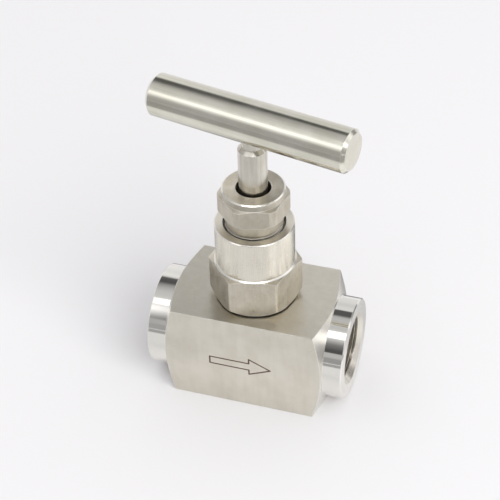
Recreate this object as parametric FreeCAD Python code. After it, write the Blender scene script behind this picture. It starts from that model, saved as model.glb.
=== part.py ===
import FreeCAD, Part
import math
import os
from FreeCAD import Vector

# Bar stock needle valve with 1/2 inch female pipe ports, in millimetres.
# Origin at the middle of the underside of the square body, +Z up the stem,
# +X towards the outlet, -Y towards the face that carries the flow arrow.

# Body: square bar, ends turned down to round bosses
BAR_WIDTH = 32.0
PORT_Z = BAR_WIDTH / 2.0
BAR_EDGE_BREAK = 0.2
CONE_CORNER_X = 21.6
CONE_FLAT_X = 24.05
BOSS_RADIUS = 15.3
BOSS_END_X = 30.2
BOSS_EDGE = 0.4
BOSS_ROOT_X = CONE_FLAT_X + 0.3
CONE_SLOPE = (BAR_WIDTH / 2.0 * math.sqrt(2.0) - BAR_WIDTH / 2.0) / (CONE_FLAT_X - CONE_CORNER_X)

# Ports: 1/2 inch parallel pipe thread, 14 threads per inch
PORT_PITCH = 1.814
PORT_MINOR_RADIUS = 9.32
PORT_THREAD_DEPTH = 1.1
PORT_GROOVE_SHARE = 0.52
PORT_THREAD_TURNS = 7
PORT_MOUTH_RADIUS = 11.1
PORT_DEPTH = 15.0
PORT_THREAD_LENGTH = 13.0
DRILL_POINT_SLOPE = math.tan(math.radians(59.0))

# Waterway: low passage in, seat in the middle, high passage out
PASSAGE_RADIUS = 2.6
INLET_PASSAGE_Z = 11.6
OUTLET_PASSAGE_Z = 19.9
SEAT_RADIUS = 2.4
SEAT_OUTER_RADIUS = 3.0
CHAMBER_FLOOR_Z = 17.0
CHAMBER_RADIUS = 6.0
NEEDLE_HALF_ANGLE = math.radians(30.0)
SEAT_LOW_Z = CHAMBER_FLOOR_Z - (SEAT_OUTER_RADIUS - SEAT_RADIUS) / math.tan(NEEDLE_HALF_ANGLE)

# Bonnet: hexagon with a round neck, screwed into the body
BONNET_HOLE_FLOOR_Z = 23.3
BONNET_THREAD_RADIUS = 10.0
BONNET_THREAD_PITCH = 1.5
BONNET_THREAD_DEPTH = 0.92
BONNET_THREAD_TURNS = 6
BONNET_BOTTOM_Z = 23.8
BONNET_RELIEF_Z = 30.4
BONNET_RELIEF_RADIUS = 8.9
GASKET_THICKNESS = 0.5
GASKET_OUTER_RADIUS = 11.2
BONNET_HEX_FLATS = 24.0
BONNET_HEX_CORNER_RADIUS = 13.7
BONNET_HEX_BOTTOM_RADIUS = 12.1
BONNET_HEX_TOP_RADIUS = 12.1
NECK_ROOT_RISE = 0.35
BONNET_HEX_BOTTOM_Z = BAR_WIDTH + GASKET_THICKNESS
BONNET_HEX_TOP_Z = 45.1
BONNET_HEX_TURN = 13.2
NECK_RADIUS = 11.65
NECK_TOP_Z = 58.6
NECK_EDGE = 0.3
HEX_BOTTOM_SLOPE = math.tan(math.radians(45.0))
HEX_TOP_SLOPE = math.tan(math.radians(15.0))

# Bonnet bores from below: stem thread, back seat land, packing box, gland thread
STEM_LAND_Z = 39.5
PACKING_FLOOR_Z = 42.5
PACKING_BOX_RADIUS = 7.0
GLAND_BORE_Z = 51.0
GLAND_MOUTH_RADIUS = 9.15
GLAND_MOUTH_DEPTH = 1.5

# Stem
STEM_RADIUS = 4.18
STEM_THREAD_RADIUS = 5.0
STEM_THREAD_PITCH = 1.5
STEM_THREAD_DEPTH = 0.8
STEM_THREAD_TURNS = 10
STEM_BOTTOM_Z = 22.0
STEM_SHOULDER_Z = 33.6
STEM_SHAFT_TOP_Z = 85.2
STEM_TOP_CHAMFER = 1.0
TENON_RADIUS = 3.0
TENON_TOP_Z = 95.0
NEEDLE_SOCKET_RADIUS = 3.06
NEEDLE_SOCKET_TOP_Z = 27.5

# Needle, its thrust ball and the wire ring that keeps it in the stem
NEEDLE_RADIUS = 3.0
NEEDLE_TIP_RADIUS = 0.4
NEEDLE_TOP_Z = 24.5
SEAT_GAP = 0.03
BALL_RADIUS = 1.5
RING_Z = 23.2
RING_RADIUS = 3.05
RING_WIRE_RADIUS = 0.4

# Packing
PACKING_INNER_RADIUS = 4.2
PACKING_OUTER_RADIUS = 6.97
PACKING_WASHER_TOP_Z = 43.3
V_RING_FIRST_Z = 44.0
V_RING_PITCH = 1.1
V_RING_RISE = 0.9
PACKING_TOP_Z = 49.0
FOLLOWER_INNER_RADIUS = 4.3
FOLLOWER_OUTER_RADIUS = 6.9
FOLLOWER_TOP_Z = 52.2

# Gland nut
GLAND_THREAD_RADIUS = 8.5
GLAND_THREAD_PITCH = 1.0
GLAND_THREAD_DEPTH = 0.61
GLAND_THREAD_TURNS = 8
GLAND_HOLE_RADIUS = 5.05
GLAND_HEX_FLATS = 19.0
GLAND_HEX_CORNER_RADIUS = 10.4
GLAND_HEX_BOTTOM_Z = 63.1
GLAND_HEX_BOTTOM_RADIUS = 9.75
GLAND_HEX_BOTTOM_RISE = 0.5
GLAND_CORNER_TOP_Z = 68.55
GLAND_COLLAR_Z = 69.1
GLAND_COLLAR_RADIUS = 9.35
GLAND_TOP_RADIUS = 8.75
GLAND_TOP_Z = 71.0
GLAND_EDGE_WIDTH = 0.4
GLAND_EDGE_HEIGHT = 0.3
GLAND_HEX_TURN = 18.0

# Handle bar
HANDLE_RADIUS = 6.23
HANDLE_LENGTH = 61.5
HANDLE_Z = 93.1
HANDLE_CHAMFER = 1.0
HANDLE_TURN = -11.5
HANDLE_HOLE_TOP_Z = 95.3
SET_SCREW_RADIUS = 2.0
SET_SCREW_LENGTH = 2.8
SET_SCREW_SOCKET_FLATS = 2.0
SET_SCREW_SOCKET_DEPTH = 1.5

# Share of the pitch taken by the groove of a male thread
MALE_GROOVE_SHARE = 0.92

# Radial air round fixed threads, and round parts that turn or slide
FIT_GAP = 0.05
RUNNING_GAP = 0.1


def turned(profile):
    """Solid of revolution about Z of a closed (radius, height) outline."""
    points = [Vector(r, 0, z) for r, z in profile]
    face = Part.Face(Part.makePolygon(points + [points[0]]))
    return face.revolve(Vector(0, 0, 0), Vector(0, 0, 1), 360)


def tube(inner, outer, z_low, z_high):
    """Plain ring about Z."""
    ring = [(inner, z_low), (outer, z_low), (outer, z_high), (inner, z_high)]
    return turned(ring)


def rod(radius, z_low, z_high):
    """Plain cylinder about Z."""
    return Part.makeCylinder(radius, z_high - z_low, Vector(0, 0, z_low))


def hexagon(flats, z_low, z_high, turn):
    """Hexagonal prism about Z with one flat facing -Y before it is turned."""
    corner = flats / math.sqrt(3.0)
    angles = [math.radians(60.0 * i + turn) for i in range(6)]
    points = [Vector(corner * math.cos(a), corner * math.sin(a), z_low) for a in angles]
    face = Part.Face(Part.makePolygon(points + [points[0]]))
    return face.extrude(Vector(0, 0, z_high - z_low))


def thread_groove(radius, depth, pitch, share, z_low, z_high):
    """Right-hand helical V cutter; a negative depth cuts inwards from a shaft.

    share is the part of the pitch that the groove takes at its mouth."""
    half_width = pitch * share / 2.0
    half_tip = pitch * 0.06
    base = radius - math.copysign(0.12, depth)
    tip = radius + depth
    outline = [
        Vector(base, 0, -half_width),
        Vector(tip, 0, -half_tip),
        Vector(tip, 0, half_tip),
        Vector(base, 0, half_width),
    ]
    section = Part.makePolygon(outline + [outline[0]])
    helix = Part.makeHelix(pitch, z_high - z_low, radius)
    cutter = Part.Wire(helix).makePipeShell([section], True, True)
    cutter.translate(Vector(0, 0, z_low))
    return cutter


def threaded(solid, radius, depth, pitch, z_low, turns):
    """Solid with a male thread cut from z_low upwards, one turn at a time."""
    for turn in range(turns):
        low = z_low + turn * pitch
        groove = thread_groove(radius, -depth, pitch, MALE_GROOVE_SHARE, low, low + pitch)
        solid = solid.cut(groove)
    return solid


def along_x(shape, direction, z):
    """Lay a shape made about +Z along +X or -X at height z."""
    shape.rotate(Vector(0, 0, 0), Vector(0, 1, 0), 90.0 * direction)
    shape.translate(Vector(0, 0, z))
    return shape


def port_cutter(direction):
    """Pipe port before threading, with a countersunk mouth and a drill point."""
    bottom = BOSS_END_X - PORT_DEPTH
    point = bottom - PORT_MINOR_RADIUS / DRILL_POINT_SLOPE
    mouth = BOSS_END_X - (PORT_MOUTH_RADIUS - PORT_MINOR_RADIUS)
    profile = [
        (0, point),
        (PORT_MINOR_RADIUS, bottom),
        (PORT_MINOR_RADIUS, mouth),
        (PORT_MOUTH_RADIUS + 1.0, BOSS_END_X + 1.0),
        (0, BOSS_END_X + 1.0),
    ]
    return along_x(turned(profile), direction, PORT_Z)


def port_groove_turn(direction, turn):
    """One turn of a port's thread groove, counted from its inner end."""
    low = BOSS_END_X - PORT_THREAD_LENGTH + turn * PORT_PITCH
    groove = thread_groove(
        PORT_MINOR_RADIUS, PORT_THREAD_DEPTH, PORT_PITCH, PORT_GROOVE_SHARE, low, low + PORT_PITCH
    )
    return along_x(groove, direction, PORT_Z)


def body_outside():
    """Square bar cut by the lathe to coned ends and round bosses."""
    bar = Part.makeBox(2 * BOSS_END_X, BAR_WIDTH, BAR_WIDTH)
    bar.translate(Vector(-BOSS_END_X, -BAR_WIDTH / 2.0, 0))
    long_edges = [e for e in bar.Edges if e.BoundBox.XLength > BAR_WIDTH]
    bar = bar.makeChamfer(BAR_EDGE_BREAK, long_edges)
    reach = BOSS_RADIUS + (BOSS_ROOT_X - CONE_CORNER_X + 1.0) * CONE_SLOPE
    profile = [
        (0, -BOSS_END_X),
        (BOSS_RADIUS - BOSS_EDGE, -BOSS_END_X),
        (BOSS_RADIUS, -BOSS_END_X + BOSS_EDGE),
        (BOSS_RADIUS, -BOSS_ROOT_X),
        (reach, -CONE_CORNER_X + 1.0),
        (reach, CONE_CORNER_X - 1.0),
        (BOSS_RADIUS, BOSS_ROOT_X),
        (BOSS_RADIUS, BOSS_END_X - BOSS_EDGE),
        (BOSS_RADIUS - BOSS_EDGE, BOSS_END_X),
        (0, BOSS_END_X),
    ]
    lathe = along_x(turned(profile), 1, PORT_Z)
    return bar.common(lathe)


def seat_cutter():
    """Orifice, coned seat and valve chamber on the stem axis."""
    profile = [
        (0, INLET_PASSAGE_Z),
        (SEAT_RADIUS, INLET_PASSAGE_Z),
        (SEAT_RADIUS, SEAT_LOW_Z),
        (SEAT_OUTER_RADIUS, CHAMBER_FLOOR_Z),
        (CHAMBER_RADIUS, CHAMBER_FLOOR_Z),
        (CHAMBER_RADIUS, BONNET_HOLE_FLOOR_Z),
        (BONNET_THREAD_RADIUS + FIT_GAP, BONNET_HOLE_FLOOR_Z),
        (BONNET_THREAD_RADIUS + FIT_GAP, BAR_WIDTH + 1.0),
        (0, BAR_WIDTH + 1.0),
    ]
    return turned(profile)


def passage_cutter(direction, z, start):
    """Drilled hole from a port bottom towards the stem axis."""
    length = BOSS_END_X - PORT_DEPTH - start
    drill = Part.makeCylinder(PASSAGE_RADIUS, length, Vector(0, 0, start))
    return along_x(drill, direction, z)


def make_valve_body():
    solid = body_outside()
    solid = solid.cut(seat_cutter())
    solid = solid.cut(passage_cutter(-1, INLET_PASSAGE_Z, -1.5))
    solid = solid.cut(passage_cutter(1, OUTLET_PASSAGE_Z, 3.0))
    for direction in (-1, 1):
        solid = solid.cut(port_cutter(direction))
        for turn in range(PORT_THREAD_TURNS):
            solid = solid.cut(port_groove_turn(direction, turn))
    return solid


def bonnet_envelope():
    """Turned outline that trims the hexagon's corners and forms neck and thread."""
    bottom_trim = (BONNET_HEX_CORNER_RADIUS - BONNET_HEX_BOTTOM_RADIUS) * HEX_BOTTOM_SLOPE
    top_trim = (BONNET_HEX_CORNER_RADIUS - BONNET_HEX_TOP_RADIUS) * HEX_TOP_SLOPE
    profile = [
        (0, BONNET_BOTTOM_Z),
        (BONNET_THREAD_RADIUS - 0.8, BONNET_BOTTOM_Z),
        (BONNET_THREAD_RADIUS, BONNET_BOTTOM_Z + 0.8),
        (BONNET_THREAD_RADIUS, BONNET_RELIEF_Z),
        (BONNET_RELIEF_RADIUS, BONNET_RELIEF_Z + 0.6),
        (BONNET_RELIEF_RADIUS, BONNET_HEX_BOTTOM_Z),
        (BONNET_HEX_BOTTOM_RADIUS, BONNET_HEX_BOTTOM_Z),
        (BONNET_HEX_CORNER_RADIUS, BONNET_HEX_BOTTOM_Z + bottom_trim),
        (BONNET_HEX_CORNER_RADIUS, BONNET_HEX_TOP_Z - top_trim),
        (BONNET_HEX_TOP_RADIUS, BONNET_HEX_TOP_Z),
        (NECK_RADIUS, BONNET_HEX_TOP_Z + NECK_ROOT_RISE),
        (NECK_RADIUS, NECK_TOP_Z - NECK_EDGE),
        (NECK_RADIUS - NECK_EDGE, NECK_TOP_Z),
        (0, NECK_TOP_Z),
    ]
    return turned(profile)


def bonnet_bores():
    """Stepped bore of the bonnet from the stem thread up to the gland thread."""
    stem_bore = STEM_THREAD_RADIUS + RUNNING_GAP
    land_bore = STEM_RADIUS + RUNNING_GAP
    gland_bore = GLAND_THREAD_RADIUS + FIT_GAP
    profile = [
        (0, BONNET_BOTTOM_Z - 1.0),
        (stem_bore + 1.8, BONNET_BOTTOM_Z - 1.0),
        (stem_bore, BONNET_BOTTOM_Z + 0.8),
        (stem_bore, STEM_LAND_Z - 0.9),
        (land_bore, STEM_LAND_Z),
        (land_bore, PACKING_FLOOR_Z),
        (PACKING_BOX_RADIUS, PACKING_FLOOR_Z),
        (PACKING_BOX_RADIUS, GLAND_BORE_Z),
        (gland_bore, GLAND_BORE_Z + 0.6),
        (gland_bore, NECK_TOP_Z - GLAND_MOUTH_DEPTH),
        (GLAND_MOUTH_RADIUS, NECK_TOP_Z - GLAND_MOUTH_DEPTH),
        (GLAND_MOUTH_RADIUS, NECK_TOP_Z + 1.0),
        (0, NECK_TOP_Z + 1.0),
    ]
    return turned(profile)


def make_bonnet():
    blank = hexagon(BONNET_HEX_FLATS, BONNET_HEX_BOTTOM_Z, BONNET_HEX_TOP_Z, BONNET_HEX_TURN)
    blank = blank.fuse(rod(BONNET_HEX_TOP_RADIUS, BONNET_HEX_TOP_Z - 2.0, NECK_TOP_Z))
    blank = blank.fuse(rod(BONNET_THREAD_RADIUS, BONNET_BOTTOM_Z, BONNET_HEX_BOTTOM_Z + 2.0))
    solid = blank.common(bonnet_envelope()).removeSplitter()
    low = BONNET_BOTTOM_Z - BONNET_THREAD_PITCH
    solid = threaded(
        solid, BONNET_THREAD_RADIUS, BONNET_THREAD_DEPTH, BONNET_THREAD_PITCH, low, BONNET_THREAD_TURNS
    )
    return solid.cut(bonnet_bores())


def make_bonnet_gasket():
    inner = BONNET_THREAD_RADIUS + RUNNING_GAP
    return tube(inner, GASKET_OUTER_RADIUS, BAR_WIDTH, BONNET_HEX_BOTTOM_Z)


def make_stem():
    thread_rise = STEM_THREAD_RADIUS - STEM_RADIUS
    profile = [
        (0, STEM_BOTTOM_Z),
        (STEM_THREAD_RADIUS - 0.8, STEM_BOTTOM_Z),
        (STEM_THREAD_RADIUS, STEM_BOTTOM_Z + 0.8),
        (STEM_THREAD_RADIUS, STEM_SHOULDER_Z),
        (STEM_RADIUS, STEM_SHOULDER_Z + thread_rise),
        (STEM_RADIUS, STEM_SHAFT_TOP_Z - STEM_TOP_CHAMFER),
        (STEM_RADIUS - STEM_TOP_CHAMFER, STEM_SHAFT_TOP_Z),
        (TENON_RADIUS, STEM_SHAFT_TOP_Z),
        (TENON_RADIUS, TENON_TOP_Z - 0.3),
        (TENON_RADIUS - 0.3, TENON_TOP_Z),
        (0, TENON_TOP_Z),
    ]
    solid = turned(profile)
    low = STEM_BOTTOM_Z - STEM_THREAD_PITCH
    solid = threaded(
        solid, STEM_THREAD_RADIUS, STEM_THREAD_DEPTH, STEM_THREAD_PITCH, low, STEM_THREAD_TURNS
    )
    solid = solid.cut(rod(NEEDLE_SOCKET_RADIUS, STEM_BOTTOM_Z - 1.0, NEEDLE_SOCKET_TOP_Z))
    return solid.cut(Part.makeTorus(RING_RADIUS, RING_WIRE_RADIUS + 0.02, Vector(0, 0, RING_Z)))


def make_needle():
    tip_z = SEAT_LOW_Z - SEAT_RADIUS / math.tan(NEEDLE_HALF_ANGLE)
    tip_z = tip_z + SEAT_GAP / math.sin(NEEDLE_HALF_ANGLE)
    cone_top = tip_z + NEEDLE_RADIUS / math.tan(NEEDLE_HALF_ANGLE)
    cut_off = tip_z + NEEDLE_TIP_RADIUS / math.tan(NEEDLE_HALF_ANGLE)
    profile = [
        (0, cut_off),
        (NEEDLE_TIP_RADIUS, cut_off),
        (NEEDLE_RADIUS, cone_top),
        (NEEDLE_RADIUS, NEEDLE_TOP_Z - 0.2),
        (NEEDLE_RADIUS - 0.2, NEEDLE_TOP_Z),
        (0, NEEDLE_TOP_Z),
    ]
    solid = turned(profile)
    groove = Part.makeTorus(RING_RADIUS, RING_WIRE_RADIUS + RUNNING_GAP, Vector(0, 0, RING_Z))
    return solid.cut(groove)


def make_thrust_ball():
    return Part.makeSphere(BALL_RADIUS, Vector(0, 0, NEEDLE_TOP_Z + BALL_RADIUS))


def make_needle_ring():
    """Wire snap ring with a gap, half in the stem's groove, half in the needle's."""
    ring = Part.makeTorus(RING_RADIUS, RING_WIRE_RADIUS, Vector(0, 0, RING_Z))
    slit = Part.makeBox(5.0, 0.8, 2.0, Vector(0, -0.4, RING_Z - 1.0))
    return ring.cut(slit)


def make_packing_washer():
    return tube(FOLLOWER_INNER_RADIUS, FOLLOWER_OUTER_RADIUS, PACKING_FLOOR_Z, PACKING_WASHER_TOP_Z)


def packing_middle():
    return (PACKING_INNER_RADIUS + PACKING_OUTER_RADIUS) / 2.0


def make_packing_bottom_adapter():
    profile = [
        (PACKING_INNER_RADIUS, PACKING_WASHER_TOP_Z),
        (PACKING_OUTER_RADIUS, PACKING_WASHER_TOP_Z),
        (PACKING_OUTER_RADIUS, V_RING_FIRST_Z),
        (packing_middle(), V_RING_FIRST_Z + V_RING_RISE),
        (PACKING_INNER_RADIUS, V_RING_FIRST_Z),
    ]
    return turned(profile)


def make_v_ring(place):
    """One chevron ring; place counts from 0 at the bottom of the stack."""
    low = V_RING_FIRST_Z + place * V_RING_PITCH
    high = low + V_RING_PITCH
    profile = [
        (PACKING_INNER_RADIUS, low),
        (packing_middle(), low + V_RING_RISE),
        (PACKING_OUTER_RADIUS, low),
        (PACKING_OUTER_RADIUS, high),
        (packing_middle(), high + V_RING_RISE),
        (PACKING_INNER_RADIUS, high),
    ]
    return turned(profile)


def make_packing_top_adapter():
    low = V_RING_FIRST_Z + 3 * V_RING_PITCH
    profile = [
        (PACKING_INNER_RADIUS, low),
        (packing_middle(), low + V_RING_RISE),
        (PACKING_OUTER_RADIUS, low),
        (PACKING_OUTER_RADIUS, PACKING_TOP_Z),
        (PACKING_INNER_RADIUS, PACKING_TOP_Z),
    ]
    return turned(profile)


def make_gland_follower():
    return tube(FOLLOWER_INNER_RADIUS, FOLLOWER_OUTER_RADIUS, PACKING_TOP_Z, FOLLOWER_TOP_Z)


def make_gland_nut():
    """Male gland nut: hexagon with a turned collar on top and a threaded shank."""
    profile = [
        (GLAND_HOLE_RADIUS, FOLLOWER_TOP_Z),
        (GLAND_THREAD_RADIUS - 0.6, FOLLOWER_TOP_Z),
        (GLAND_THREAD_RADIUS, FOLLOWER_TOP_Z + 0.6),
        (GLAND_THREAD_RADIUS, GLAND_HEX_BOTTOM_Z),
        (GLAND_HEX_BOTTOM_RADIUS, GLAND_HEX_BOTTOM_Z),
        (GLAND_HEX_CORNER_RADIUS, GLAND_HEX_BOTTOM_Z + GLAND_HEX_BOTTOM_RISE),
        (GLAND_HEX_CORNER_RADIUS, GLAND_CORNER_TOP_Z),
        (GLAND_COLLAR_RADIUS, GLAND_COLLAR_Z),
        (GLAND_TOP_RADIUS + GLAND_EDGE_WIDTH, GLAND_TOP_Z - GLAND_EDGE_HEIGHT),
        (GLAND_TOP_RADIUS, GLAND_TOP_Z),
        (GLAND_HOLE_RADIUS + 0.2, GLAND_TOP_Z),
        (GLAND_HOLE_RADIUS, GLAND_TOP_Z - 0.2),
    ]
    envelope = turned(profile)
    blank = hexagon(GLAND_HEX_FLATS, GLAND_HEX_BOTTOM_Z, GLAND_COLLAR_Z, GLAND_HEX_TURN)
    blank = blank.fuse(rod(GLAND_COLLAR_RADIUS, FOLLOWER_TOP_Z, GLAND_TOP_Z))
    solid = blank.common(envelope).removeSplitter()
    low = FOLLOWER_TOP_Z - GLAND_THREAD_PITCH
    return threaded(
        solid, GLAND_THREAD_RADIUS, GLAND_THREAD_DEPTH, GLAND_THREAD_PITCH, low, GLAND_THREAD_TURNS
    )


def handle_placed(shape):
    """Turn a shape made about +X to where the handle stands when the valve is shut."""
    shape.rotate(Vector(0, 0, 0), Vector(0, 0, 1), HANDLE_TURN)
    return shape


def set_screw_bore(radius, start, length):
    """Cylinder along +Y, across the handle bar at its middle."""
    return Part.makeCylinder(radius, length, Vector(0, start, HANDLE_Z), Vector(0, 1, 0))


def make_handle_bar():
    half = HANDLE_LENGTH / 2.0
    profile = [
        (0, -half),
        (HANDLE_RADIUS - HANDLE_CHAMFER, -half),
        (HANDLE_RADIUS, -half + HANDLE_CHAMFER),
        (HANDLE_RADIUS, half - HANDLE_CHAMFER),
        (HANDLE_RADIUS - HANDLE_CHAMFER, half),
        (0, half),
    ]
    bar = along_x(turned(profile), 1, HANDLE_Z)
    bar = bar.cut(rod(TENON_RADIUS + 0.03, HANDLE_Z - 10.0, HANDLE_HOLE_TOP_Z))
    bar = bar.cut(set_screw_bore(SET_SCREW_RADIUS + 0.02, 0.0, 10.0))
    return handle_placed(bar)


def make_handle_set_screw():
    """Socket set screw on the back of the bar, bearing on the stem's tenon."""
    screw = set_screw_bore(SET_SCREW_RADIUS, TENON_RADIUS + 0.01, SET_SCREW_LENGTH)
    socket = hexagon(SET_SCREW_SOCKET_FLATS, 0, SET_SCREW_SOCKET_DEPTH + 1.0, 0)
    socket.rotate(Vector(0, 0, 0), Vector(1, 0, 0), -90)
    end = TENON_RADIUS + 0.01 + SET_SCREW_LENGTH
    socket.translate(Vector(0, end - SET_SCREW_SOCKET_DEPTH, HANDLE_Z))
    return handle_placed(screw.cut(socket))


def write(name, shape):
    """Save one piece and print its state."""
    shape.exportStep("parts/" + name + ".step")
    print(name, shape.ShapeType, "valid", shape.isValid(), "solids", len(shape.Solids),
          "volume", round(shape.Volume, 2))


os.makedirs("parts", exist_ok=True)
write("valve_body", make_valve_body())
write("bonnet", make_bonnet())
write("bonnet_gasket", make_bonnet_gasket())
write("stem", make_stem())
write("needle", make_needle())
write("thrust_ball", make_thrust_ball())
write("needle_ring", make_needle_ring())
write("packing_washer", make_packing_washer())
write("packing_bottom_adapter", make_packing_bottom_adapter())
write("v_ring_lower", make_v_ring(0))
write("v_ring_middle", make_v_ring(1))
write("v_ring_upper", make_v_ring(2))
write("packing_top_adapter", make_packing_top_adapter())
write("gland_follower", make_gland_follower())
write("gland_nut", make_gland_nut())
write("handle_bar", make_handle_bar())
write("handle_set_screw", make_handle_set_screw())
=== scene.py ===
import bpy
import math
from mathutils import Matrix, Vector

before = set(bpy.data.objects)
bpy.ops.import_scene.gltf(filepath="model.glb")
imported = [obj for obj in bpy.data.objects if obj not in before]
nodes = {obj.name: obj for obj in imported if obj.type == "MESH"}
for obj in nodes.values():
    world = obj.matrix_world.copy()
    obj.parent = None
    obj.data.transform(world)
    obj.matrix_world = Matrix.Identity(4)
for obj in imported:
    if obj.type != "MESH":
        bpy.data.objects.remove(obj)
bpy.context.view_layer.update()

# ---------------------------------------------------------------- camera
CAM_AZIMUTH = math.radians(18.53)
CAM_ELEVATION = math.radians(39.95)
CAM_ROLL = math.radians(-1.857)
CAM_DISTANCE = 0.4420
CAM_TARGET = Vector((-0.0016, 0.0, 0.0473))
CAM_LENS = 109.16
CAM_SENSOR = 36.0


def make_camera():
    back = Vector((math.sin(CAM_AZIMUTH) * math.cos(CAM_ELEVATION),
                   -math.cos(CAM_AZIMUTH) * math.cos(CAM_ELEVATION),
                   math.sin(CAM_ELEVATION)))
    right = Vector((math.cos(CAM_AZIMUTH), math.sin(CAM_AZIMUTH), 0.0))
    up = back.cross(right)
    r = right * math.cos(CAM_ROLL) + up * math.sin(CAM_ROLL)
    u = up * math.cos(CAM_ROLL) - right * math.sin(CAM_ROLL)
    place = CAM_TARGET + back * CAM_DISTANCE
    data = bpy.data.cameras.new("camera")
    data.lens = CAM_LENS
    data.sensor_width = CAM_SENSOR
    data.clip_start = 0.01
    data.clip_end = 20.0
    cam = bpy.data.objects.new("camera", data)
    bpy.context.scene.collection.objects.link(cam)
    cam.matrix_world = Matrix(((r.x, u.x, back.x, place.x),
                               (r.y, u.y, back.y, place.y),
                               (r.z, u.z, back.z, place.z),
                               (0, 0, 0, 1)))
    bpy.context.scene.camera = cam


# ---------------------------------------------------------------- material wiring
class Look:
    """A material being wired up, with short names for the nodes it needs."""

    def __init__(self, name):
        self.mat = bpy.data.materials.new(name)
        self.mat.use_nodes = True
        self.tree = self.mat.node_tree
        self.tree.nodes.clear()
        self.out = self.add("ShaderNodeOutputMaterial")
        coord = self.add("ShaderNodeTexCoord")
        self.place = coord.outputs["Object"]
        self.x, self.y, self.z = self.split(self.place)
        self.nx, self.ny, self.nz = self.split(coord.outputs["Normal"])

    def add(self, kind, **settings):
        node = self.tree.nodes.new(kind)
        for key, value in settings.items():
            setattr(node, key, value)
        return node

    def feed(self, socket, value):
        """Link a socket, or set its value where the value is plain."""
        if isinstance(value, bpy.types.NodeSocket):
            self.tree.links.new(value, socket)
        elif isinstance(value, tuple) and len(value) == 3 and len(socket.default_value) == 4:
            socket.default_value = (*value, 1)
        else:
            socket.default_value = value

    def show(self, shader):
        self.tree.links.new(shader.outputs[0], self.out.inputs[0])

    def split(self, vector):
        node = self.add("ShaderNodeSeparateXYZ")
        self.feed(node.inputs[0], vector)
        return node.outputs[0], node.outputs[1], node.outputs[2]

    def join(self, x, y, z):
        node = self.add("ShaderNodeCombineXYZ")
        for socket, value in zip(node.inputs, (x, y, z)):
            self.feed(socket, value)
        return node.outputs[0]

    def math(self, operation, a, b=0.0, clamp=False):
        node = self.add("ShaderNodeMath", operation=operation, use_clamp=clamp)
        self.feed(node.inputs[0], a)
        self.feed(node.inputs[1], b)
        return node.outputs[0]

    def plus(self, a, b):
        return self.math("ADD", a, b)

    def minus(self, a, b):
        return self.math("SUBTRACT", a, b)

    def times(self, a, b):
        return self.math("MULTIPLY", a, b)

    def size(self, a):
        return self.math("ABSOLUTE", a)

    def vector(self, operation, a, b):
        node = self.add("ShaderNodeVectorMath", operation=operation)
        self.feed(node.inputs[0], a)
        self.feed(node.inputs[1], b)
        return node.outputs[0]

    def shaded(self, colour, shade):
        """A colour made lighter or darker by a number."""
        return self.vector("MULTIPLY", colour, self.join(shade, shade, shade))

    def ramp(self, value, low, high, to_low=0.0, to_high=1.0, smooth=True):
        """to_low where the value is low, to_high where it is high, and between them in between."""
        node = self.add("ShaderNodeMapRange", interpolation_type="SMOOTHSTEP" if smooth else "LINEAR")
        for socket, v in zip(node.inputs, (value, low, high, to_low, to_high)):
            self.feed(socket, v)
        return node.outputs[0]

    def noise(self, vector, scale=1.0, detail=3.0, rough=0.6):
        node = self.add("ShaderNodeTexNoise")
        self.feed(node.inputs["Vector"], vector)
        self.feed(node.inputs["Scale"], scale)
        self.feed(node.inputs["Detail"], detail)
        self.feed(node.inputs["Roughness"], rough)
        return node.outputs[0]

    def stretched(self, vector, scale, detail=3.0, rough=0.6):
        """Noise with its own scale along each axis."""
        return self.noise(self.vector("MULTIPLY", vector, scale), 1.0, detail, rough)

    def blend(self, factor, a, b):
        node = self.add("ShaderNodeMix", data_type="FLOAT")
        self.feed(node.inputs[0], factor)
        self.feed(node.inputs[2], a)
        self.feed(node.inputs[3], b)
        return node.outputs[0]

    def tint(self, factor, a, b):
        node = self.add("ShaderNodeMix", data_type="RGBA")
        self.feed(node.inputs[0], factor)
        self.feed(node.inputs[6], a)
        self.feed(node.inputs[7], b)
        return node.outputs[2]

    def distance(self, a, b):
        return self.math("SQRT", self.plus(self.times(a, a), self.times(b, b)))

    def streaks(self, direction, across, along):
        """Fine grain: noise squeezed to lines that run along an axis (0, 1 or 2)."""
        scale = [across, across, across]
        scale[direction] = along
        return self.stretched(self.place, tuple(scale))

    def steps(self, along, across, rough=0.6):
        """Turning marks on a round bar: noise that only changes along its axis."""
        return self.noise(self.join(along, 0.0, 0.0), across, rough=rough)

    def rings(self, a, b, across):
        """Turning marks on an end face: noise that only changes with the distance from an axis."""
        return self.steps(self.distance(a, b), across, 0.65)

    def edges(self, radius=0.00035):
        """1 along sharp edges, 0 elsewhere."""
        bevel = self.add("ShaderNodeBevel", samples=6)
        bevel.inputs["Radius"].default_value = radius
        dot = self.add("ShaderNodeVectorMath", operation="DOT_PRODUCT")
        self.feed(dot.inputs[0], bevel.outputs[0])
        self.feed(dot.inputs[1], self.facing())
        return self.ramp(dot.outputs["Value"], 0.999, 0.93)

    def facing(self):
        return self.add("ShaderNodeNewGeometry").outputs["Normal"]

    def bump(self, height, distance, strength=1.0, normal=None):
        node = self.add("ShaderNodeBump")
        self.feed(node.inputs["Height"], height)
        node.inputs["Distance"].default_value = distance
        node.inputs["Strength"].default_value = strength
        if normal is not None:
            self.feed(node.inputs["Normal"], normal)
        return node.outputs[0]

    def rounded(self, radius=0.0002):
        """A normal that catches the light along edges as a broken edge does."""
        node = self.add("ShaderNodeBevel", samples=6)
        node.inputs["Radius"].default_value = radius
        return node.outputs[0]

    def turned(self, vector):
        """An object-space direction as the shader wants it."""
        node = self.add("ShaderNodeVectorTransform", vector_type="VECTOR",
                        convert_from="OBJECT", convert_to="WORLD")
        self.feed(node.inputs[0], vector)
        return node.outputs[0]

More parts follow.
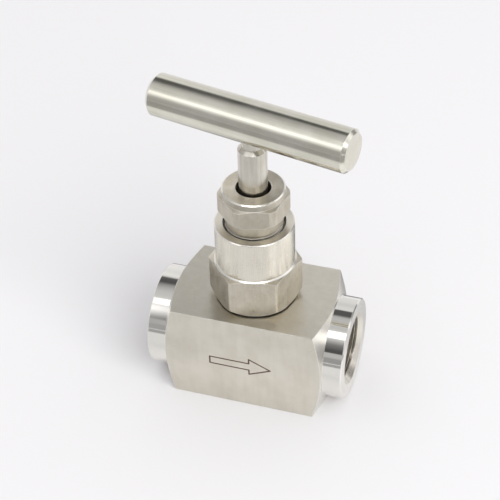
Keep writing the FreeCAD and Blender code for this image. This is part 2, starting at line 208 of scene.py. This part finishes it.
    def across_turning(self):
        """Direction across the turning marks of a part turned about Z."""
        round_z = self.turned(self.join(self.times(self.y, -1.0), self.x, 0.0))
        return self.vector("CROSS_PRODUCT", round_z, self.facing())

    def surface(self, colour, rough, normal, metallic=1.0, anisotropic=0.0, tangent=None):
        shader = self.add("ShaderNodeBsdfPrincipled")
        self.feed(shader.inputs["Base Color"], colour)
        self.feed(shader.inputs["Roughness"], rough)
        self.feed(shader.inputs["Normal"], normal)
        shader.inputs["Metallic"].default_value = metallic
        if anisotropic:
            shader.inputs["Anisotropic"].default_value = anisotropic
            self.feed(shader.inputs["Tangent"], tangent)
        self.show(shader)
        return self.mat


# ---------------------------------------------------------------- body
PORT_Z = 0.016
# Pairs are where a mask starts and where it is full, in metres or as a part of the normal
BOSS_X = (0.02415, 0.0243)
BORE_X = (0.0100, 0.0102)
BORE_RADIUS = (0.0112, 0.0111)
CONE_FACING = (0.1, 0.2)
END_FACING = (0.9, 0.97)
# Painted shade: top faces darker towards -X, other faces darker towards the floor
TOP_SHADE = (-0.020, 0.020, 0.82, 1.02)
SIDE_SHADE = (-0.001, 0.012, 0.89, 0.96)
BODY_LIGHT = (0.79, 0.755, 0.675)
BODY_DARK = (0.71, 0.67, 0.585)
BODY_EDGE_HIGHLIGHT = (0.9, 0.88, 0.84)
BOSS_BRIGHT = (0.83, 0.81, 0.77)
BORE_TONE = (0.76, 0.72, 0.65)
MARK = (0.16, 0.085, 0.05)
MARK_DARK = (0.07, 0.04, 0.03)
MARK_ROUGH = 0.6
CONE_EXTRA_ROUGH = 0.22
BODY_BUMP = 0.0000012

ARROW_Z = 0.0158
ARROW = [(-0.0100, 0.0013), (0.0022, 0.0013), (0.0022, 0.0030), (0.0088, 0.0),
         (0.0022, -0.0030), (0.0022, -0.0013), (-0.0100, -0.0013)]
ARROW_LINE = (0.00029, 0.00017)
ARROW_WOBBLE = 0.00004


def segment(k, u, v, x0, z0, x1, z1):
    """Distance from (u, v) to a straight line between two points."""
    dx = x1 - x0
    dz = z1 - z0
    length2 = dx * dx + dz * dz
    pu = k.minus(u, x0)
    pv = k.minus(v, z0)
    t = k.math("ADD", k.times(pu, dx / length2), k.times(pv, dz / length2), clamp=True)
    return k.distance(k.minus(pu, k.times(t, dx)), k.minus(pv, k.times(t, dz)))


def flow_arrow(k):
    """Outline of a plain flow arrow burnt into the front face: its mask, and where it is darker."""
    v = k.minus(k.z, ARROW_Z)
    nearest = None
    for i, (x0, z0) in enumerate(ARROW):
        x1, z1 = ARROW[(i + 1) % len(ARROW)]
        d = segment(k, k.x, v, x0, z0, x1, z1)
        nearest = d if nearest is None else k.math("MINIMUM", nearest, d)
    wobble = k.noise(k.place, 2600.0, 2.0)
    nearest = k.plus(nearest, k.ramp(wobble, 0.3, 0.7, -ARROW_WOBBLE, ARROW_WOBBLE))
    line = k.ramp(nearest, *ARROW_LINE)
    front = k.ramp(k.ny, -END_FACING[0], -END_FACING[1])
    mask = k.times(k.times(line, front), k.ramp(wobble, 0.2, 0.5, 0.65, 0.95))
    return mask, k.ramp(wobble, 0.35, 0.65)


def body_look():
    """Milled block faces, lathe-polished bosses and cones, turned port threads, flow arrow."""
    k = Look("body_steel_look")
    ax = k.size(k.x)
    up = k.minus(k.z, PORT_Z)
    boss = k.ramp(ax, *BOSS_X)
    cone = k.times(k.ramp(k.size(k.nx), *CONE_FACING), k.ramp(ax, BOSS_X[1], BOSS_X[0]))
    end = k.times(boss, k.ramp(k.size(k.nx), *END_FACING))
    bore = k.times(k.ramp(k.distance(k.y, up), *BORE_RADIUS), k.ramp(ax, *BORE_X))
    lathe = k.math("MAXIMUM", boss, cone)
    top = k.ramp(k.nz, *END_FACING)

    grain = k.streaks(0, 5200.0, 120.0)
    fine = k.streaks(0, 16000.0, 500.0)
    turn = k.steps(ax, 9000.0)
    end_turn = k.rings(k.y, up, 7000.0)
    cloud = k.noise(k.place, 130.0, rough=0.55)
    smear = k.stretched(k.place, (420.0, 420.0, 60.0), 2.0, 0.5)

    tone = k.tint(k.ramp(k.blend(0.35, cloud, smear), 0.35, 0.66), BODY_DARK, BODY_LIGHT)
    tone = k.tint(k.ramp(grain, 0.35, 0.75, 0.0, 0.16), tone, BODY_DARK)
    # painted shade: top faces darker towards -X, other faces darker towards the floor
    tone = k.shaded(tone, k.blend(top, k.ramp(k.z, *SIDE_SHADE), k.ramp(k.x, *TOP_SHADE)))
    tone = k.tint(lathe, tone, BOSS_BRIGHT)
    tone = k.tint(bore, tone, BORE_TONE)
    # painted highlight: sharp edges tinted lighter, like a lit broken edge
    tone = k.tint(k.times(k.edges(), 0.8), tone, BODY_EDGE_HIGHLIGHT)
    mark, mark_deep = flow_arrow(k)
    tone = k.tint(mark, tone, k.tint(mark_deep, MARK, MARK_DARK))

    face_rough = k.blend(k.ramp(cloud, 0.3, 0.7), 0.29, 0.37)
    face_rough = k.plus(face_rough, k.ramp(fine, 0.3, 0.7, -0.03, 0.03))
    lathe_rough = k.plus(k.ramp(turn, 0.35, 0.7, 0.055, 0.12), k.times(cone, CONE_EXTRA_ROUGH))
    rough = k.blend(lathe, face_rough, lathe_rough)
    rough = k.blend(end, rough, k.ramp(end_turn, 0.3, 0.7, 0.2, 0.3))
    rough = k.blend(bore, rough, k.ramp(turn, 0.3, 0.7, 0.16, 0.3))
    rough = k.blend(mark, rough, MARK_ROUGH)

    height = k.blend(lathe, k.plus(grain, k.times(fine, 0.5)), k.times(turn, 0.35))
    height = k.blend(end, height, end_turn)
    normal = k.bump(height, BODY_BUMP, 1.0, k.rounded())
    return k.surface(tone, rough, normal, anisotropic=0.35, tangent=k.turned(k.join(1.0, 0.0, 0.0)))


# ---------------------------------------------------------------- bonnet, gland nut, stem, handle
BONNET_LIGHT = (0.70, 0.65, 0.56)
BONNET_DARK = (0.58, 0.53, 0.44)
# Painted light and shade on top faces along X: where it starts, where it ends, factor at start, factor at
# end
BONNET_TOP_SHADE = (-0.008, 0.009, 1.22, 0.93)
GLAND_LIGHT = (0.66, 0.615, 0.53)
GLAND_DARK = (0.54, 0.495, 0.41)
GLAND_TOP_SHADE = (0.0, 0.0095, 1.26, 0.72)
TURNED_EDGE_HIGHLIGHT = (0.92, 0.9, 0.86)
TURNED_BUMP = 0.0000012
TURNED_TOP_FACING = (0.85, 0.95)
# A chamfer faces up at about 52 degrees, between these two limits; it gets a lighter painted highlight
# tone and less roughness
CHAMFER_LOW = (0.66, 0.74)
CHAMFER_HIGH = (0.86, 0.82)
CHAMFER_HIGHLIGHT_TONE = (0.88, 0.86, 0.81)
CHAMFER_ROUGH = 0.16

# The bonnet's neck, and the painted deep shade in the mouth that the gland nut screws into
NECK_Z = (0.0450, 0.0453)
NECK_RADIUS = (0.01215, 0.01185)
NECK_LIGHT = (0.825, 0.78, 0.69)
NECK_DARK = (0.805, 0.76, 0.67)
NECK_LESS_ROUGH = 0.08
MOUTH_Z = (0.0560, 0.0568)
MOUTH_RADIUS = (0.00925, 0.00916)
MOUTH_PAINTED_SHADE = (0.035, 0.03, 0.025)

HANDLE_TURN = math.radians(-11.5)
HANDLE_Z = 0.0931
HANDLE_END = (0.0306, 0.03068)
HANDLE_LIGHT = (0.80, 0.778, 0.70)
HANDLE_DARK = (0.72, 0.70, 0.605)
HANDLE_RING = (0.66, 0.63, 0.55)
HANDLE_EDGE_HIGHLIGHT = (0.94, 0.93, 0.9)
HANDLE_BUMP = 0.0000016
BAR_EDGE_HIGHLIGHT = (0.93, 0.92, 0.89)
BAR_BUMP = 0.0000010


def turned_part_look(name, light, dark, rough_low, rough_high, seed, top_shade, has_neck=False):
    """Bonnet or gland nut: milled flats with upright grain, turned rings on round and top faces."""
    k = Look(name)
    shifted = k.vector("ADD", k.place, (seed, seed * 0.7, seed * 0.3))
    top = k.ramp(k.size(k.nz), *TURNED_TOP_FACING)
    rings = k.rings(k.x, k.y, 6500.0)
    steps = k.steps(k.z, 6500.0)
    upright = k.streaks(2, 3600.0, 150.0)
    cloud = k.noise(shifted, 190.0)
    patch = k.stretched(shifted, (420.0, 420.0, 190.0))

    tone = k.tint(k.ramp(k.blend(0.5, cloud, patch), 0.36, 0.64), dark, light)
    tone = k.tint(k.ramp(upright, 0.4, 0.75, 0.0, 0.22), tone, dark)
    tone = k.tint(k.times(top, k.ramp(rings, 0.4, 0.7, 0.0, 0.35)), tone, dark)
    # painted light and shade: top faces lighter towards -X, darker towards +X
    tone = k.shaded(tone, k.blend(top, 1.0, k.ramp(k.x, *top_shade)))
    rough = k.ramp(k.blend(0.5, cloud, upright), 0.35, 0.65, rough_low, rough_high)
    if has_neck:
        radius = k.distance(k.x, k.y)
        neck = k.times(k.ramp(radius, *NECK_RADIUS), k.ramp(k.z, *NECK_Z))
        tone = k.tint(neck, tone, k.tint(k.ramp(upright, 0.35, 0.7), NECK_LIGHT, NECK_DARK))
        rough = k.minus(rough, k.times(neck, NECK_LESS_ROUGH))
        # painted shade: the mouth's bore is tinted near black
        mouth = k.times(k.ramp(radius, *MOUTH_RADIUS), k.ramp(k.z, *MOUTH_Z))
        tone = k.tint(mouth, tone, MOUTH_PAINTED_SHADE)
    # painted highlight: sharp edges tinted lighter, like a lit broken edge
    tone = k.tint(k.times(k.edges(), 0.8), tone, TURNED_EDGE_HIGHLIGHT)
    rough = k.blend(top, rough, k.ramp(rings, 0.3, 0.7, rough_low, rough_high))
    # painted highlight: up-facing chamfers tinted lighter to show a glint line
    chamfer = k.times(k.ramp(k.nz, *CHAMFER_LOW), k.ramp(k.nz, *CHAMFER_HIGH))
    tone = k.tint(chamfer, tone, CHAMFER_HIGHLIGHT_TONE)
    rough = k.blend(chamfer, rough, CHAMFER_ROUGH)

    height = k.blend(top, k.plus(k.times(upright, 0.5), k.times(steps, 0.5)), rings)
    normal = k.bump(height, TURNED_BUMP, 1.0, k.rounded(0.00015))
    return k.surface(tone, rough, normal, anisotropic=0.8, tangent=k.across_turning())


def bar_look(name, light, dark, rough_low, rough_high, axis=2):
    """Ground or drawn round bar: fine rings round it, faint long smears along it."""
    k = Look(name)
    rings = k.steps((k.x, k.y, k.z)[axis], 8000.0, 0.65)
    scale = [900.0, 900.0, 900.0]
    scale[axis] = 70.0
    smear = k.stretched(k.place, tuple(scale), rough=0.55)
    cloud = k.noise(k.place, 160.0, rough=0.55)
    tone = k.tint(k.ramp(k.blend(0.5, cloud, smear), 0.35, 0.65), dark, light)
    tone = k.tint(k.ramp(rings, 0.45, 0.8, 0.0, 0.2), tone, dark)
    # painted highlight: sharp edges tinted lighter, like a lit broken edge
    tone = k.tint(k.times(k.edges(), 0.7), tone, BAR_EDGE_HIGHLIGHT)
    rough = k.ramp(k.blend(0.5, cloud, rings), 0.35, 0.65, rough_low, rough_high)
    normal = k.bump(k.plus(rings, k.times(smear, 0.3)), BAR_BUMP, 1.0, k.rounded())
    if axis == 2:
        return k.surface(tone, rough, normal, anisotropic=0.7, tangent=k.across_turning())
    return k.surface(tone, rough, normal)


def handle_look():
    """Drawn bar with fine specks; its grain follows the bar's own direction."""
    k = Look("handle_steel_look")
    cos = math.cos(HANDLE_TURN)
    sin = math.sin(HANDLE_TURN)
    along = k.plus(k.times(k.x, cos), k.times(k.y, sin))
    side = k.minus(k.times(k.y, cos), k.times(k.x, sin))
    up = k.minus(k.z, HANDLE_Z)
    end = k.ramp(k.size(along), *HANDLE_END)
    rings = k.steps(along, 8500.0, 0.65)
    end_rings = k.rings(side, up, 7000.0)
    drawn = k.noise(k.join(k.times(along, 90.0), k.times(side, 1500.0), k.times(up, 1500.0)))
    cloud = k.noise(k.place, 120.0, rough=0.55)
    speck = k.stretched(k.place, (2600.0, 3400.0, 3400.0), 2.0)

    tone = k.tint(k.ramp(k.blend(0.4, cloud, drawn), 0.34, 0.66), HANDLE_DARK, HANDLE_LIGHT)
    tone = k.tint(k.ramp(rings, 0.45, 0.8, 0.0, 0.24), tone, HANDLE_RING)
    # painted highlight: sharp edges tinted lighter, like a lit broken edge
    tone = k.tint(k.times(k.edges(), 0.7), tone, HANDLE_EDGE_HIGHLIGHT)
    rough = k.ramp(k.blend(0.6, cloud, rings), 0.35, 0.65, 0.14, 0.22)
    rough = k.blend(end, rough, k.ramp(end_rings, 0.3, 0.7, 0.28, 0.4))
    height = k.plus(rings, k.plus(k.times(drawn, 0.3), k.times(speck, 1.2)))
    height = k.blend(end, height, end_rings)
    return k.surface(tone, rough, k.bump(height, HANDLE_BUMP, 1.0, k.rounded()))


def soft_look(name, light, dark, rough_low, rough_high, scale):
    """Packing or gasket sheet: mottled, slightly fibrous, not metal."""
    k = Look(name)
    fibre = k.noise(k.place, scale, 4.0)
    cloud = k.noise(k.place, scale * 0.12, 2.0, 0.5)
    tone = k.tint(k.ramp(k.blend(0.5, fibre, cloud), 0.35, 0.65), dark, light)
    # painted highlight: edges tinted a little lighter
    tone = k.tint(k.times(k.edges(0.0001), 0.3), tone, light)
    rough = k.ramp(fibre, 0.3, 0.7, rough_low, rough_high)
    return k.surface(tone, rough, k.bump(fibre, 0.00001, 0.6), metallic=0.0)


# ---------------------------------------------------------------- studio
FLOOR_HALF = 6.0
FLOOR_TONE = (0.875, 0.87, 0.87)
FLOOR_ROUGH = 0.75
FLOOR_SPECULAR = 0.2
WORLD_TONE = (0.985, 0.975, 1.0, 1)
WORLD_STRENGTH = 0.755
KEY_PLACE = Vector((1.5, -1.2, 1.35))
KEY_TARGET = Vector((0, 0, 0.03))
KEY_SIZE = (1.9, 1.6)
KEY_POWER = 37.0

DRUM_RADIUS = 0.85
DRUM_HEIGHT = 0.03
DRUM_HALF = 2.0
DRUM_SPAN = (-94.0, 90.0)
DRUM_STEPS = 48
DRUM_PEAK = 4.0
DRUM_ANGLES = (-95.0, 95.0)
# Light from the drum: (degrees from the zenith, positive to the front, strength)
LIGHT_MIDDLE = [(-95, 0.84), (-72, 0.80), (-60, 0.70), (-49, 0.80), (-41.5, 0.80), (-39, 0.10),
                (-25, 0.10), (-19, 0.52), (-12, 0.57), (0, 0.57), (12, 0.62), (17, 0.75), (19, 3.2),
                (30, 3.2), (33, 0.75), (38, 0.55), (47, 0.23), (60, 0.09), (65.5, 0.08), (67, 0.55),
                (76, 0.55), (79, 0.36), (90, 0.36)]
LIGHT_LEFT = [(-95, 1.0), (-80, 0.97), (-66, 0.90), (-50, 1.0), (-45, 0.84), (-40, 0.14),
              (-28, 0.08), (-21, 0.12), (-9, 0.44), (0, 0.62), (14, 0.69), (26, 0.74), (33, 1.0),
              (38, 1.55), (44, 1.65), (50, 1.25), (56, 0.86), (61, 0.58), (67, 0.43), (90, 0.43)]
LIGHT_FAR_LEFT = [(-95, 0.9), (-50, 0.8), (-40, 0.45), (-20, 0.45), (20, 0.6), (50, 0.8),
                  (70, 0.5), (90, 0.42)]
LIGHT_FAR_RIGHT = [(-95, 0.30), (-64, 0.33), (-48, 1.20), (-20, 1.10), (10, 0.8), (22, 1.8),
                   (42, 1.9), (52, 0.6), (90, 0.36)]
# Where, along X, each profile hands over to the next
MIDDLE_FROM_LEFT = (-0.33, -0.22)
FAR_LEFT_FROM = (-0.60, -0.80)
FAR_RIGHT_FROM = (0.35, 0.60)

FAN_INNER = 0.028
FAN_OUTER = 1.5
FAN_Z = 0.0003
FAN_STEPS = 72
FAN_PEAK = 2.0
FAN_STRENGTH = 1.72
FAN_ANGLES = (-180.0, 180.0)
# Light from the floor: (degrees from the front, positive to the right, strength)
LIGHT_FLOOR = [(-180, 0.20), (-160, 0.24), (-148, 0.32), (-135, 0.50), (-120, 0.66), (-105, 0.80),
               (-95, 0.98), (-84, 0.84), (-70, 0.98), (-58, 1.04), (-45, 0.93), (-30, 0.92),
               (-14, 0.99), (0, 0.97), (25, 0.97), (48, 0.99), (60, 1.20), (72, 1.27), (82, 1.00),
               (94, 1.27), (106, 1.18), (113, 0.76), (130, 0.78), (145, 0.56), (158, 0.30),
               (180, 0.20)]
FAN_SPOT = (0.085, 0.045)
FAN_SPOT_RADIUS = (0.052, 0.022)
FAN_SPOT_TONE = (0.64, 0.635, 0.62)
FAN_NEAR_DIM = (0.036, 0.062, 0.92, 1.0)
FAN_FAR_RADIUS = (0.145, 0.185)
FAN_FAR_Y = (-0.02, -0.09)
FAN_FAR_LEVEL = 0.48
FAN_BEHIND_Y = (-0.01, 0.03)
FAN_BEHIND_RADIUS = (0.070, 0.105)
FAN_FADE_IN = (0.030, 0.048)
FAN_FADE_OUT = (FAN_OUTER, 1.0)


def stage_mesh(name, verts, faces, material):
    mesh = bpy.data.meshes.new(name)
    mesh.from_pydata(verts, [], faces)
    mesh.materials.append(material)
    ob = bpy.data.objects.new(name, mesh)
    bpy.context.scene.collection.objects.link(ob)
    return ob


def only_reflected(ob):
    ob.visible_camera = False
    ob.visible_diffuse = False
    ob.visible_shadow = False
    ob.visible_transmission = False


def light_profile(k, turn, stops, angles, peak):
    """Light strength, as a part of its peak, along a list of angles; turn runs from 0 to 1."""
    ramp = k.add("ShaderNodeValToRGB")
    points = ramp.color_ramp.elements
    while len(points) < len(stops):
        points.new(0.5)
    for point, (angle, strength) in zip(points, stops):
        level = strength / peak
        point.position = (angle - angles[0]) / (angles[1] - angles[0])
        point.color = (level, level, level, 1)
    k.feed(ramp.inputs[0], turn)
    return ramp.outputs[0]


def emission(k, light, strength):
    shader = k.add("ShaderNodeEmission")
    k.feed(shader.inputs["Color"], light)
    shader.inputs["Strength"].default_value = strength
    return shader


def make_drum():
    """Half drum round the X axis that only reflections see, with a soft studio's lights and darks."""
    verts = []
    for i in range(DRUM_STEPS + 1):
        a = math.radians(DRUM_SPAN[0] + (DRUM_SPAN[1] - DRUM_SPAN[0]) * i / DRUM_STEPS)
        for x in (-DRUM_HALF, DRUM_HALF):
            verts.append((x, -DRUM_RADIUS * math.sin(a), DRUM_HEIGHT + DRUM_RADIUS * math.cos(a)))
    faces = [(2 * i, 2 * i + 1, 2 * i + 3, 2 * i + 2) for i in range(DRUM_STEPS)]
    k = Look("drum_light")
    angle = k.math("ARCTAN2", k.times(k.y, -1.0), k.minus(k.z, DRUM_HEIGHT))
    turn = k.ramp(angle, math.radians(DRUM_ANGLES[0]), math.radians(DRUM_ANGLES[1]), smooth=False)

    def profile(stops):
        return light_profile(k, turn, stops, DRUM_ANGLES, DRUM_PEAK)

    light = k.tint(k.ramp(k.x, *MIDDLE_FROM_LEFT), profile(LIGHT_LEFT), profile(LIGHT_MIDDLE))
    light = k.tint(k.ramp(k.x, *FAR_LEFT_FROM), light, profile(LIGHT_FAR_LEFT))
    light = k.tint(k.ramp(k.x, *FAR_RIGHT_FROM), light, profile(LIGHT_FAR_RIGHT))
    k.show(emission(k, light, DRUM_PEAK))
    only_reflected(stage_mesh("drum", verts, faces, k.mat))


def make_fan():
    """Ring just over the floor that only reflections see, lighter and darker by direction."""
    verts = []
    for i in range(FAN_STEPS):
        a = 2.0 * math.pi * i / FAN_STEPS
        for r in (FAN_INNER, FAN_OUTER):
            verts.append((r * math.sin(a), -r * math.cos(a), FAN_Z))
    faces = []
    for i in range(FAN_STEPS):
        j = (i + 1) % FAN_STEPS
        faces.append((2 * i, 2 * i + 1, 2 * j + 1, 2 * j))
    k = Look("fan_light")
    angle = k.math("ARCTAN2", k.x, k.times(k.y, -1.0))
    turn = k.ramp(angle, -math.pi, math.pi, smooth=False)
    radius = k.distance(k.x, k.y)
    far = k.times(k.ramp(radius, *FAN_FAR_RADIUS), k.ramp(k.y, *FAN_FAR_Y))
    dim = k.times(k.ramp(far, 0.0, 1.0, 1.0, FAN_FAR_LEVEL), k.ramp(radius, *FAN_NEAR_DIM))
    light = k.shaded(light_profile(k, turn, LIGHT_FLOOR, FAN_ANGLES, FAN_PEAK), dim)
    spot = k.distance(k.minus(k.x, FAN_SPOT[0]), k.minus(k.y, FAN_SPOT[1]))
    glow = k.ramp(spot, *FAN_SPOT_RADIUS)
    light = k.tint(glow, light, FAN_SPOT_TONE)
    behind = k.times(k.ramp(k.y, *FAN_BEHIND_Y), k.ramp(radius, *FAN_BEHIND_RADIUS))
    cover = k.times(k.ramp(radius, *FAN_FADE_IN), k.ramp(radius, *FAN_FADE_OUT))
    cover = k.math("MAXIMUM", k.times(cover, k.minus(1.0, behind)), glow)
    mix = k.add("ShaderNodeMixShader")
    k.feed(mix.inputs[0], cover)
    k.feed(mix.inputs[1], k.add("ShaderNodeBsdfTransparent").outputs[0])
    k.feed(mix.inputs[2], emission(k, light, FAN_STRENGTH).outputs[0])
    k.show(mix)
    only_reflected(stage_mesh("fan", verts, faces, k.mat))


def make_floor():
    k = Look("floor_paper")
    shader = k.add("ShaderNodeBsdfPrincipled")
    k.feed(shader.inputs["Base Color"], FLOOR_TONE)
    shader.inputs["Roughness"].default_value = FLOOR_ROUGH
    shader.inputs["Specular IOR Level"].default_value = FLOOR_SPECULAR
    k.show(shader)
    s = FLOOR_HALF
    stage_mesh("floor", [(-s, -s, 0), (s, -s, 0), (s, s, 0), (-s, s, 0)], [(0, 1, 2, 3)], k.mat)


def make_world():
    world = bpy.data.worlds.new("studio")
    world.use_nodes = True
    background = world.node_tree.nodes["Background"]
    background.inputs["Color"].default_value = WORLD_TONE
    background.inputs["Strength"].default_value = WORLD_STRENGTH
    bpy.context.scene.world = world


def make_key_light():
    """Large soft light that lights the floor and casts the shadow; the drum stands in for it in steel."""
    data = bpy.data.lights.new("key", "AREA")
    data.shape = "RECTANGLE"
    data.size, data.size_y = KEY_SIZE
    data.energy = KEY_POWER
    ob = bpy.data.objects.new("key", data)
    bpy.context.scene.collection.objects.link(ob)
    turn = (KEY_TARGET - KEY_PLACE).to_track_quat("-Z", "Y")
    ob.matrix_world = Matrix.Translation(KEY_PLACE) @ turn.to_matrix().to_4x4()
    ob.visible_camera = False
    ob.visible_glossy = False


make_camera()
make_floor()
make_world()
make_drum()
make_fan()
make_key_light()

# ---------------------------------------------------------------- a look for every piece
packing = soft_look("packing_look", (0.86, 0.86, 0.84), (0.74, 0.74, 0.71), 0.4, 0.55, 2500.0)
looks = {
    "valve_body": body_look(),
    "bonnet": turned_part_look("bonnet_steel_look", BONNET_LIGHT, BONNET_DARK, 0.26, 0.38, 0.31,
                               BONNET_TOP_SHADE, has_neck=True),
    "gland_nut": turned_part_look("gland_steel_look", GLAND_LIGHT, GLAND_DARK, 0.28, 0.40, 1.73,
                                  GLAND_TOP_SHADE),
    "stem": bar_look("stem_steel_look", (0.70, 0.67, 0.61), (0.58, 0.55, 0.49), 0.17, 0.27),
    "handle_bar": handle_look(),
    "handle_set_screw": bar_look("screw_steel_look", (0.5, 0.48, 0.45), (0.36, 0.34, 0.32), 0.3, 0.45,
                                 axis=1),
    "needle": bar_look("needle_steel_look", (0.78, 0.77, 0.75), (0.68, 0.67, 0.65), 0.12, 0.2),
    "thrust_ball": bar_look("ball_steel_look", (0.82, 0.82, 0.82), (0.74, 0.74, 0.74), 0.05, 0.1),
    "needle_ring": bar_look("ring_steel_look", (0.7, 0.7, 0.7), (0.58, 0.58, 0.58), 0.2, 0.3),
    "packing_washer": bar_look("washer_steel_look", (0.72, 0.71, 0.69), (0.62, 0.61, 0.58), 0.25, 0.35),
    "gland_follower": bar_look("follower_steel_look", (0.75, 0.72, 0.66), (0.66, 0.63, 0.57), 0.22, 0.32),
    "bonnet_gasket": soft_look("gasket_look", (0.09, 0.09, 0.095), (0.035, 0.035, 0.04), 0.5, 0.7, 4000.0),
    "packing_bottom_adapter": packing,
    "v_ring_lower": packing,
    "v_ring_middle": packing,
    "v_ring_upper": packing,
    "packing_top_adapter": packing,
}
for name, ob in nodes.items():
    ob.data.materials.clear()
    ob.data.materials.append(looks[name])

bpy.context.scene.view_settings.view_transform = "Standard"
bpy.context.scene.view_settings.look = "None"
